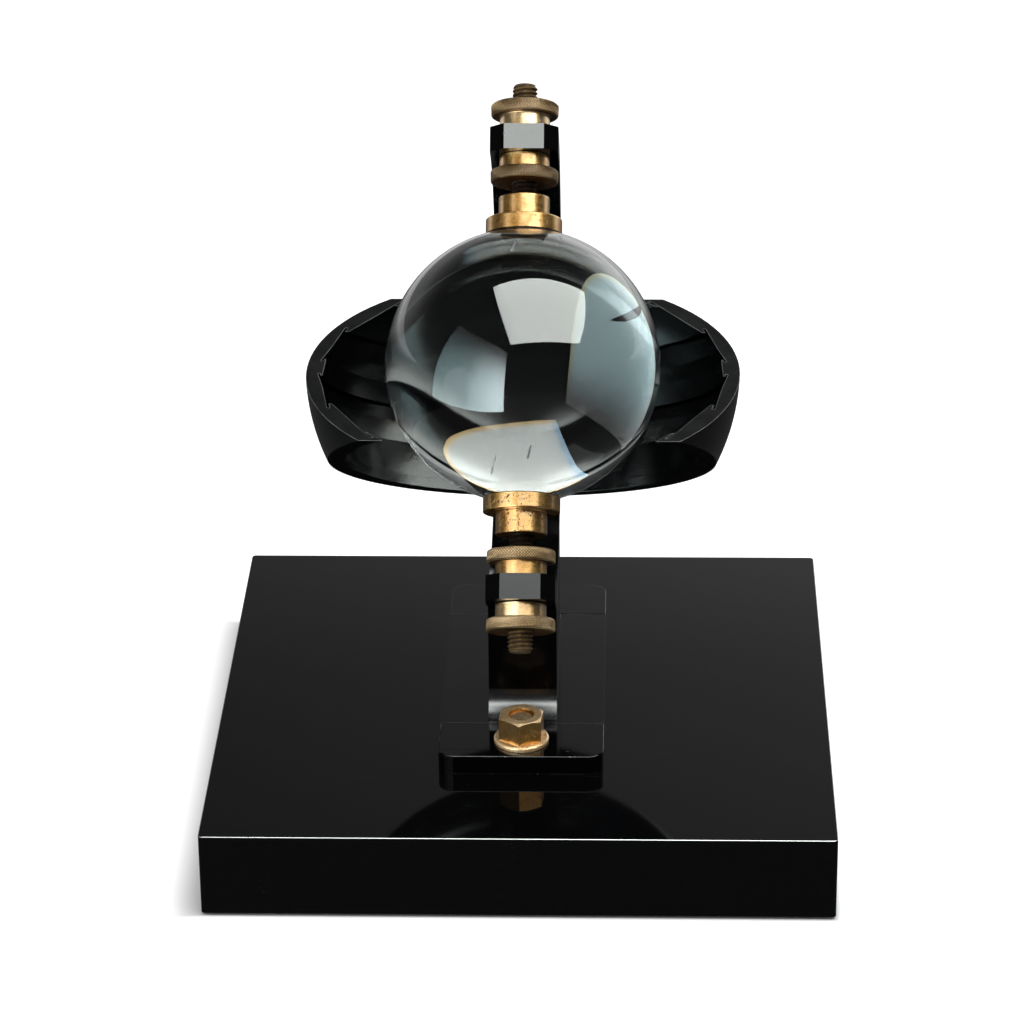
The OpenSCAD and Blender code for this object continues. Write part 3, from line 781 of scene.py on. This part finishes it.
# arc
arcShape = {"edge": 0.35, "endBelow": -0.06, "facing": 0.98}
meridianArc = roundedCopy("meridianBar", "meridian_arc", arcShape["edge"], barEnamel, enamelEdge)
meridianArc.data.materials.append(dullFacet)
for face in meridianArc.data.polygons:  # the lower end's front facet is duller
    inFront = face.normal.dot(sunSide) > arcShape["facing"]
    if inFront and (face.center - ballCentre).dot(poleUp) < arcShape["endBelow"]:
        face.material_index = 2
finished(meridianArc, "meridian", "black_enamel", "meridian_arc")

# the bowl: one section swept about the polar axis, each of its points as far as the level cut lets it go
bowlShape = {"bed": 73.7245, "card": 0.4, "clear": 1.4, "slope": 0.27, "half": 36.3, "slot": 1.5, "ridge": 4.2,
             "ridgeUnder": 1.0, "mouth": 1.0, "middle": 20.4, "lipUnder": 2.0, "rimLip": 4.1, "rimT": 1.0,
             "outside": 80.0245, "outsideSteps": 28, "cutLatitude": 51.5, "drop": 2.0, "corner": 0.2, "ease": 0.18,
             "easeSteps": 3, "columns": 150}


def bowlSection(spec):
    under = spec["ridge"] - spec["ridgeUnder"]
    slot, rimLip, lip = spec["half"] - spec["slot"], spec["half"] - spec["rimLip"], spec["middle"] - spec["lipUnder"]
    bed, mouth, corner, rimT = spec["bed"], spec["mouth"], spec["corner"], spec["rimT"]

    def curved(z):
        return bed + spec["card"] + spec["clear"] - spec["slope"] * (z - under)

    half = [(bed, spec["ridge"]), (curved(under) - mouth, spec["ridge"]), (curved(under) - mouth, under),
            (curved(under), under), (bed, under + (spec["card"] + spec["clear"]) / spec["slope"]),
            (bed, spec["middle"]), (bed - mouth, spec["middle"]), (bed - mouth, lip), (curved(lip), lip),
            (curved(slot), slot), (curved(slot) - mouth, slot), (curved(rimLip) - mouth, rimLip),
            (curved(rimLip) - mouth - rimT, rimLip), (curved(spec["half"]) - mouth - rimT, spec["half"])]
    inside = [(r, -z, corner) for r, z in reversed(half)] + [(r, z, corner) for r, z in half]
    rim = math.asin(spec["half"] / spec["outside"])
    outside = [(spec["outside"] * math.cos(a), spec["outside"] * math.sin(a), 0 if abs(a) < rim - 1e-6 else corner)
               for a in (rim - 2 * rim * k / spec["outsideSteps"] for k in range(spec["outsideSteps"] + 1))]
    return cornered(inside + outside)


def inwardTurns(section, spec):  # for each corner of the section, the way in that keeps its walls parallel
    inward = []
    for i, here in enumerate(section):
        before, after = (here - section[i - 1]).normalized(), (section[(i + 1) % len(section)] - here).normalized()
        along = (before + after).normalized()
        inward.append(Vector((along.y, -along.x)) / max(0.5, along.dot(after)))
    middle = Vector(((spec["bed"] + spec["outside"]) / 2, 0))
    nearest = min(range(len(section)), key=lambda i: (section[i] - Vector((spec["outside"], 0))).length)
    if inward[nearest].dot(middle - section[nearest]) < 0:
        inward = [-v for v in inward]
    return inward


def makeBowl(name, spec):
    section = bowlSection(spec)
    inward = inwardTurns(section, spec)
    tilt, endMark = math.radians(90 - spec["cutLatitude"]), 7
    values = {"Columns": spec["columns"], "Cut Tilt": tilt, "Cut Drop": spec["drop"] * mm,
              "Ease": spec["ease"] * mm, "Ease Steps": spec["easeSteps"], "Finish": bowlPaint}
    piece = grown(name, [(p.x, p.y) for p in section + section[:1]], "inward",
                  [c for v in inward + inward[:1] for c in (v.x, 0.0, v.y)], sweepTree, values)
    work = bmesh.new()
    work.from_mesh(piece.data)
    rims = [edge for edge in work.edges if edge.is_boundary]
    for face in bmesh.ops.holes_fill(work, edges=rims, sides=0)["faces"]:
        face.material_index = endMark
    placed(work, polar, piece.data)
    ends = [face.index for face in piece.data.polygons if face.material_index == endMark]
    onlyFinish(piece.data, bowlPaint, bowlEnd, bowlPaintedHighlight)
    toLocal = polar.inverted()
    for face in piece.data.polygons:  # the eased edge beside the level cut gets the paler edge finish: a painted highlight line
        middle = toLocal @ face.center
        if middle.y * math.sin(tilt) - middle.z * math.cos(tilt) - spec["drop"] * mm < spec["ease"] * mm:
            face.material_index = 2
    smoothed(piece.data, crease=40)
    for index in ends:
        piece.data.polygons[index].material_index = 1
        for loop in piece.data.polygons[index].loop_indices:
            piece.data.edges[piece.data.loops[loop].edge_index].use_edge_sharp = True
    return piece


finished(makeBowl("cardBowl", bowlShape), "meridian", "black_satin", "bowl")
print("arc and bowl made")

# ball
ballShape = {"cuts": 72}


def makeBall(spec):
    work = bmesh.new()
    bmesh.ops.create_cube(work, size=2)
    bmesh.ops.subdivide_edges(work, edges=work.edges, cuts=spec["cuts"], use_grid_fill=True)
    for vert in work.verts:  # equal angles over each face keep the cells even
        x, y, z = (math.tan(c * math.pi / 4) for c in vert.co)
        vert.co = Vector((x, y, z)).normalized() * ballRadius
    mesh = bpy.data.meshes.new("glassBall")
    placed(work, polar, mesh)
    mesh.materials.append(glass)
    mesh.shade_smooth()
    return meshObject("glassBall", mesh)


finished(makeBall(ballShape), "ball", "clear_glass", "glass_ball")
print("ball made")

# cups, spindles and knurled nuts
cupShape = {"flange": 14.2, "neck": 9.45, "flangeEnd": 55.125, "neckEnd": 63.425, "bore": 4.8125, "boreFloor": 56.3,
            "seat": 51.1, "padSeat": 52.3, "padEdge": 11.45, "darkTo": 52.35, "segments": 96}
nutShape = {"rim": 12.7, "rimT": 4.6, "hub": 9.4, "hubL": 5.6, "bore": 4.8125, "edge": 0.7, "lines": 72,
            "columns": 288, "pitch": 1.1, "depth": 0.5, "rowsPerPitch": 4, "edgeGrip": 0.25, "edgeFrom": 0.8,
            "hubTo": 9.7, "shadeTo": 11.9, "inner": 69.125, "outer": 88.85}
spindleShape = {"radius": 4.7625, "from": 56.3, "thread": 63.425, "to": 106.55, "pitch": 1.5875, "depth": 0.9,
                "rowsPerPitch": 8, "threadStop": 0.7, "chamfer": 0.9, "chamferGrip": 0.6, "columns": 48}


def sphereArc(radius, fromR, toR, steps):
    radii = [fromR + (toR - fromR) * k / steps for k in range(steps + 1)]
    return [(r, math.sqrt(radius ** 2 - r ** 2), 0) for r in radii]


def makeCup(name, spec, matrix, material):
    seatZ = math.sqrt(spec["seat"] ** 2 - spec["flange"] ** 2)
    corners = [(spec["flange"], seatZ, 0.25), (spec["flange"], spec["flangeEnd"], 0.45),
               (spec["neck"], spec["flangeEnd"], 0.3), (spec["neck"], spec["neckEnd"], 0.4),
               (spec["bore"], spec["neckEnd"], 0.25), (spec["bore"], spec["boreFloor"], 0), (0, spec["boreFloor"], 0)]
    corners += sphereArc(spec["padSeat"], 0, spec["padEdge"], 6)
    corners += sphereArc(spec["seat"], spec["padEdge"], spec["flange"], 3)[:-1]
    piece = turned(name, [(p.x, p.y) for p in cornered(corners)], matrix, spec["segments"], material)
    piece.data.materials.append(seatMetal)
    inverse = matrix.inverted()
    # the seat faces take seatMetal, whose painted shade makes them near black where the cup holds the ball
    for face in piece.data.polygons:
        if (inverse @ face.center).length / mm < spec["darkTo"]:
            face.material_index = 1
    return piece


def makeKnurledNut(name, spec, start, flip, matrix, material, hubFinish):
    rim, rimT, hub, bore, edge = (spec[k] for k in ("rim", "rimT", "hub", "bore", "edge"))
    length = rimT + spec["hubL"]
    corners = [(rim - edge, 0, 0), (rim - edge, rimT, 0), (hub, rimT, 0.25), (hub, length, 0.35), (bore, length, 0.3),
               (bore, 0, 0.3)]
    steps = int(rimT / spec["pitch"] * spec["rowsPerPitch"])
    rows = []
    for k in range(steps + 1):
        z = rimT * k / steps
        end = min(z, rimT - z)
        inset = edge - math.sqrt(max(0, edge ** 2 - (edge - end) ** 2)) if end < edge else 0
        rows.append((rim - inset, z, 1.0 if inset < edge * spec["edgeFrom"] else spec["edgeGrip"]))
    rows += [(p.x, p.y, 0.0) for p in cornered(corners)[2:]]
    rows = [(r, start + (length - z if flip else z), grip) for r, z, grip in rows]
    settings = {"Columns": spec["columns"], "Lines": float(spec["lines"]), "Pitch": spec["pitch"] * mm,
                "Depth": spec["depth"] * mm, "Crossed": 1.0}
    piece = cutOnLathe(name, rows, matrix, settings, material, hubFinish, brassShade)
    inverse, axis = matrix.inverted(), matrix.col[2].to_3d()
    for face in piece.data.polygons:
        local = inverse @ face.center
        far = math.hypot(local.x, local.y) / mm
        if far < spec["hubTo"]:
            face.material_index = 1
        if far < spec["shadeTo"] and abs(face.normal.dot(axis)) > 0.9:  # flat across the axis: near black, a painted shade
            face.material_index = 2
    return piece


def makeSpindle(name, spec, matrix, material):
    radius, start, end, chamfer = (spec[k] for k in ("radius", "from", "to", "chamfer"))
    rows = [(radius, start, 0.0)]
    z = spec["thread"]
    while z < end - spec["threadStop"]:
        rows.append((radius, z, 1.0))
        z += spec["pitch"] / spec["rowsPerPitch"]
    rows += [(radius - chamfer / 2, end - chamfer / 2, spec["chamferGrip"]), (radius - chamfer, end, 0.0),
             (0, end, 0.0), (0, start, 0.0)]
    settings = {"Columns": spec["columns"], "Lines": 1.0, "Pitch": spec["pitch"] * mm, "Depth": spec["depth"] * mm,
                "Crossed": 0.0}
    return cutOnLathe(name, rows, matrix, settings, material)


def makeEnd(end, matrix, cupFinish, innerFinish, outerFinish):
    cup = makeCup(end + "BallCup", cupShape, matrix, cupFinish)
    finished(cup, end + "_cup_set", "brass", end + "_cup")
    screw = makeSpindle(end + "Screw", spindleShape, matrix, darkBrass)
    finished(screw, end + "_cup_set", "dark_brass", end + "_spindle")
    inner = makeKnurledNut(end + "InnerKnurl", nutShape, nutShape["inner"], False, matrix, innerFinish, brassTurned)
    finished(inner, end + "_inner_nut_body", "brass", end + "_inner_nut")
    outer = makeKnurledNut(end + "OuterKnurl", nutShape, nutShape["outer"], True, matrix, outerFinish, brassHub)
    finished(outer, end + "_outer_nut_body", "brass", end + "_outer_nut")


# the upper nuts take the darker knurl copies (painted shade); the outer hubs take the lighter hub copy (painted light)
makeEnd("upper", polar, brassTurned, brassKnurledDark, brassKnurledUpper)
makeEnd("lower", lowerPolar, brassLower, brassKnurled, brassKnurled)
print("cups, screws and knurled nuts made")

# CAD nodes that stay as they are get their finish
keptFinish = {"base_baize": baize, "pedestal_screws": steel, "clamp_bolt": steel, "clamp_washer": steel,
              "clamp_nut": steel, "front_bolt": darkBolt, "rear_bolt": darkBolt, "bowl_screws": darkBrass,
              "upper_pad": leather, "lower_pad": leather}
for node, material in keptFinish.items():
    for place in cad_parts[node].material_slots:
        place.material = material
print("kept nodes painted")

# floor: white paper that clears to pure white beside the slab, soonest in front and on the right
floorLook = {"paper": 0.72, "glow": 0.8, "reach": 8.0, "level": -0.0002, "left": (0.0, 0.022),
             "front": (-0.001, 0.003), "right": (-0.001, 0.004), "back": (0.0, 0.008), "mirroredFront": 0.07,
             "mirroredRise": (0.5, 1.3)}


def mirrorRay(net):  # 1 for rays that come from a mirror image or through glass
    glossy, through = (net.add("ShaderNodeLightPath", out=name) for name in ("Is Glossy Ray", "Is Transmission Ray"))
    return (glossy + through).clamped()


def cameraRay(net):
    return net.add("ShaderNodeLightPath", out="Is Camera Ray")


def makeFloor(spec):
    net = emptyMaterial("floorPaper")
    across, away, _ = net.parts(objectPlace(net))
    edge = cadBox[1][0]
    sides = {"left": -across, "front": -away, "right": across, "back": away}
    clear = None
    for side, distance in sides.items():
        share = (distance - edge).step(*spec[side])
        clear = share if clear is None else clear.most(share)
    paper = net.add("ShaderNodeBsdfDiffuse", {}, {"Color": grey(spec["paper"])})
    glow = net.add("ShaderNodeEmission", {}, {"Strength": cameraRay(net) * (clear * spec["glow"])})
    dark = spec["mirroredFront"]
    mirrored = net.add("ShaderNodeEmission", {}, {"Strength": dark + away.step(*spec["mirroredRise"]) * (1 - dark)})
    lit = net.add("ShaderNodeAddShader", {}, [paper, glow])
    net.add("ShaderNodeOutputMaterial", {},
            {"Surface": net.add("ShaderNodeMixShader", {}, [mirrorRay(net), lit, mirrored])})
    mesh = bpy.data.meshes.new("floorPaper")
    far, low = spec["reach"], spec["level"]
    mesh.from_pydata([(-far, -far, low), (far, -far, low), (far, far, low), (-far, far, low)], [], [(0, 1, 2, 3)])
    mesh.materials.append(net.owner)
    meshObject("floorPaper", mesh)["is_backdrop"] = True


# two soft boxes; the corners are directions from the ball, times a distance
topBox = {"corners": [(-0.281, 0.064, 0.816), (0.683, 0.269, 0.770), (0.818, -0.510, 0.567), (-0.146, -0.715, 0.613)],
          "far": 1.8, "radiance": 2.6}
leftBox = {"corners": [(-0.786, -0.267, 0.660), (-0.209, -0.936, 0.632), (-0.215, -0.892, -0.224),
                       (-0.793, -0.223, -0.195)], "far": 0.7, "radiance": 1.6}


def panelFrame(box):
    corners = [ballCentre + Vector(c) * box["far"] for c in box["corners"]]
    centre = sum(corners, Vector()) / 4
    along = (corners[1] - corners[0]).normalized()
    normal = along.cross(corners[3] - corners[0]).normalized()
    if normal.dot(ballCentre - centre) < 0:
        normal = -normal
    turn = Matrix((along, normal.cross(along), normal)).transposed().to_4x4()
    return Matrix.Translation(centre) @ turn, (corners[1] - corners[0]).length, (corners[3] - corners[0]).length


def makeLamp(name, box):
    stand, width, height = panelFrame(box)
    data = bpy.data.lights.new(name, "AREA")
    data.shape = "RECTANGLE"
    data.size, data.size_y = width, height
    data.energy = box["radiance"] * math.pi * width * height
    lamp = bpy.data.objects.new(name, data)
    bpy.context.collection.objects.link(lamp)
    lamp.matrix_world = stand @ Matrix.Rotation(math.pi, 4, "X")  # a lamp shines along its own -Z
    lamp.visible_camera = False
    return lamp


# what the polished pieces mirror of a soft box. For the ball's far side: inner and tint say how much of it and in what
# colour, spill how much further right and forward it reaches, and fringe how wide its coloured edges are. dim says how
# far down its upper part is dim, and how much less of that the far side shows.
panelLook = {"inner": 1.0, "tint": grey(1), "dim": None, "spill": (0.0, 0.0), "fringe": 0.04,
             "amber": colour(1.0, 0.66, 0.30), "blue": colour(0.45, 0.72, 1.0)}
warmShade = [(0.0, colour(0.3, 0.29, 0.28)), (0.5, colour(0.7, 0.68, 0.65)), (1.0, colour(1, 0.97, 0.93))]
topPanel = dict(panelLook, box=topBox, radiance=11.0, inner=0.8, spill=(0.10, 0.075),
                shade=[(0.0, colour(0.78, 0.82, 0.8)), (0.1, colour(0.95, 1, 0.96)), (1.0, colour(0.93, 1.0, 0.94))])
leftPanel = dict(panelLook, box=leftBox, radiance=13.0, inner=0.31, tint=colour(0.80, 0.97, 1.0), dim=(0.75, 0.33),
                 shade=[(0.0, colour(0.10, 0.17, 0.175)), (0.45, colour(0.22, 0.33, 0.34)),
                        (0.62, colour(0.50, 0.66, 0.68)), (0.85, colour(0.78, 0.97, 1.0))])
topPanelBrass = dict(panelLook, box=dict(topBox, far=1.82), radiance=3.0, shade=warmShade)
leftPanelBrass = dict(panelLook, box=dict(leftBox, far=0.72), radiance=2.8, shade=warmShade)


def makePanel(name, spec, receivers):
    stand, width, height = panelFrame(spec["box"])
    net = emptyMaterial(name)
    x, y, _ = net.parts(objectPlace(net))
    across, down = x / width + 0.5, y / height + 0.5
    through = net.add("ShaderNodeLightPath", out="Is Transmission Ray")
    own = (1.0 - across.over(1.0)) * (1.0 - down.over(1.0))
    strength = spec["radiance"] * (through * spec["inner"] + (1.0 - through) * own)
    if spec["dim"]:
        depth, less = spec["dim"]
        strength = strength * down.step(0.0, depth - through * less)
    right, front, fringe = 1 + spec["spill"][0], 1 + spec["spill"][1], spec["fringe"]
    rim = across.step(right - fringe, right).most(down.step(front - fringe, front))
    shade = net.add("ShaderNodeValToRGB", {"stops": spec["shade"]}, {"Fac": across})
    for tint, share in ((spec["tint"], through), (spec["amber"], rim * through),
                        (spec["blue"], across.step(fringe, 0.0) * through)):
        shade = net.mixed(shade, tint, share, "MULTIPLY")
    glow = net.add("ShaderNodeEmission", {}, {"Color": shade, "Strength": strength})
    clear = net.add("ShaderNodeBsdfTransparent")  # one panel doesn't hide the other behind it
    net.add("ShaderNodeOutputMaterial", {}, {"Surface": net.add("ShaderNodeAddShader", {}, [glow, clear])})
    mesh = bpy.data.meshes.new(name)
    low, high = (-width / 2, -height / 2), (width * (right - 0.5), height * (front - 0.5))
    mesh.from_pydata([(*low, 0), (high[0], low[1], 0), (*high, 0), (low[0], high[1], 0)], [], [(0, 1, 2, 3)])
    mesh.materials.append(net.owner)
    panel = meshObject(name, mesh)
    panel.matrix_world = stand
    panel.visible_camera = panel.visible_diffuse = panel.visible_shadow = False
    panel.light_linking.receiver_collection = receivers
    panel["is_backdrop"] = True


# white paper low behind the instrument, falling off upward, and a dark room around the camera
worldLook = {"ambient": 0.2, "room": 0.025, "behind": (0.2, 0.75), "sideways": (3.4, 0.40, 1.7),
             "paper": [(0.0, grey(1)), (0.20, grey(1)), (0.31, colour(0.62, 0.62, 0.63)),
                       (0.37, colour(0.48, 0.48, 0.49)), (0.44, colour(0.35, 0.35, 0.355)),
                       (0.465, colour(0.235, 0.235, 0.24)), (0.50, colour(0.175, 0.175, 0.18)), (0.70, grey(0.03))]}


def makeWorld(spec):
    world = bpy.data.worlds.new("studio")
    bpy.context.scene.world = world
    world.use_nodes = True
    world.node_tree.nodes.clear()
    net = Net(world.node_tree)
    side, behind, height = net.parts(net.add("ShaderNodeTexCoord", out="Generated"))
    gain, least, most = spec["sideways"]
    paper = net.add("ShaderNodeValToRGB", {"stops": spec["paper"]}, {"Fac": height})
    paper = net.add("ShaderNodeVectorMath", {"operation": "SCALE"},
                    {0: paper, "Scale": (1.0 + side * gain).most(least).least(most)})
    reflected = net.mixed(grey(spec["room"]), paper, behind.step(*spec["behind"]))
    shade = net.mixed(grey(spec["ambient"]), reflected, mirrorRay(net))
    shade = net.mixed(shade, grey(1), cameraRay(net))
    background = net.add("ShaderNodeBackground", {}, {"Color": shade, "Strength": 1.0})
    net.add("ShaderNodeOutputWorld", {}, {"Surface": background})


def lightGroup(name, wanted):
    group = bpy.data.collections.new(name)
    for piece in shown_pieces():
        if wanted(piece.name):
            group.objects.link(piece)
    return group


makeFloor(floorLook)
makeLamp("topLamp", topBox)
leftLamp = makeLamp("leftLamp", leftBox)
levelPieces, roundPieces = ("baseSlab", "subPlate", "pedestalBlock"), ("meridianBar", "cardBowl", "glassBall")
hexPieces = ("frontHexNut", "rearHexNut")
polished = lightGroup("polished", lambda name: name in levelPieces + roundPieces)
shiny = lightGroup("shiny", lambda name: name in roundPieces)
topMetal = lightGroup("topMetal", lambda name: name not in levelPieces + roundPieces)
metal = lightGroup("metal", lambda name: name not in levelPieces + roundPieces + hexPieces)
hexNuts = lightGroup("hexNuts", lambda name: name in hexPieces)
for entry in hexNuts.collection_objects:
    entry.light_linking.link_state = "EXCLUDE"
leftLamp.light_linking.receiver_collection = hexNuts
makePanel("topPanel", topPanel, polished)
makePanel("leftPanel", leftPanel, shiny)
makePanel("topPanelBrass", topPanelBrass, topMetal)
makePanel("leftPanelBrass", leftPanelBrass, metal)
makeWorld(worldLook)
print("studio made")
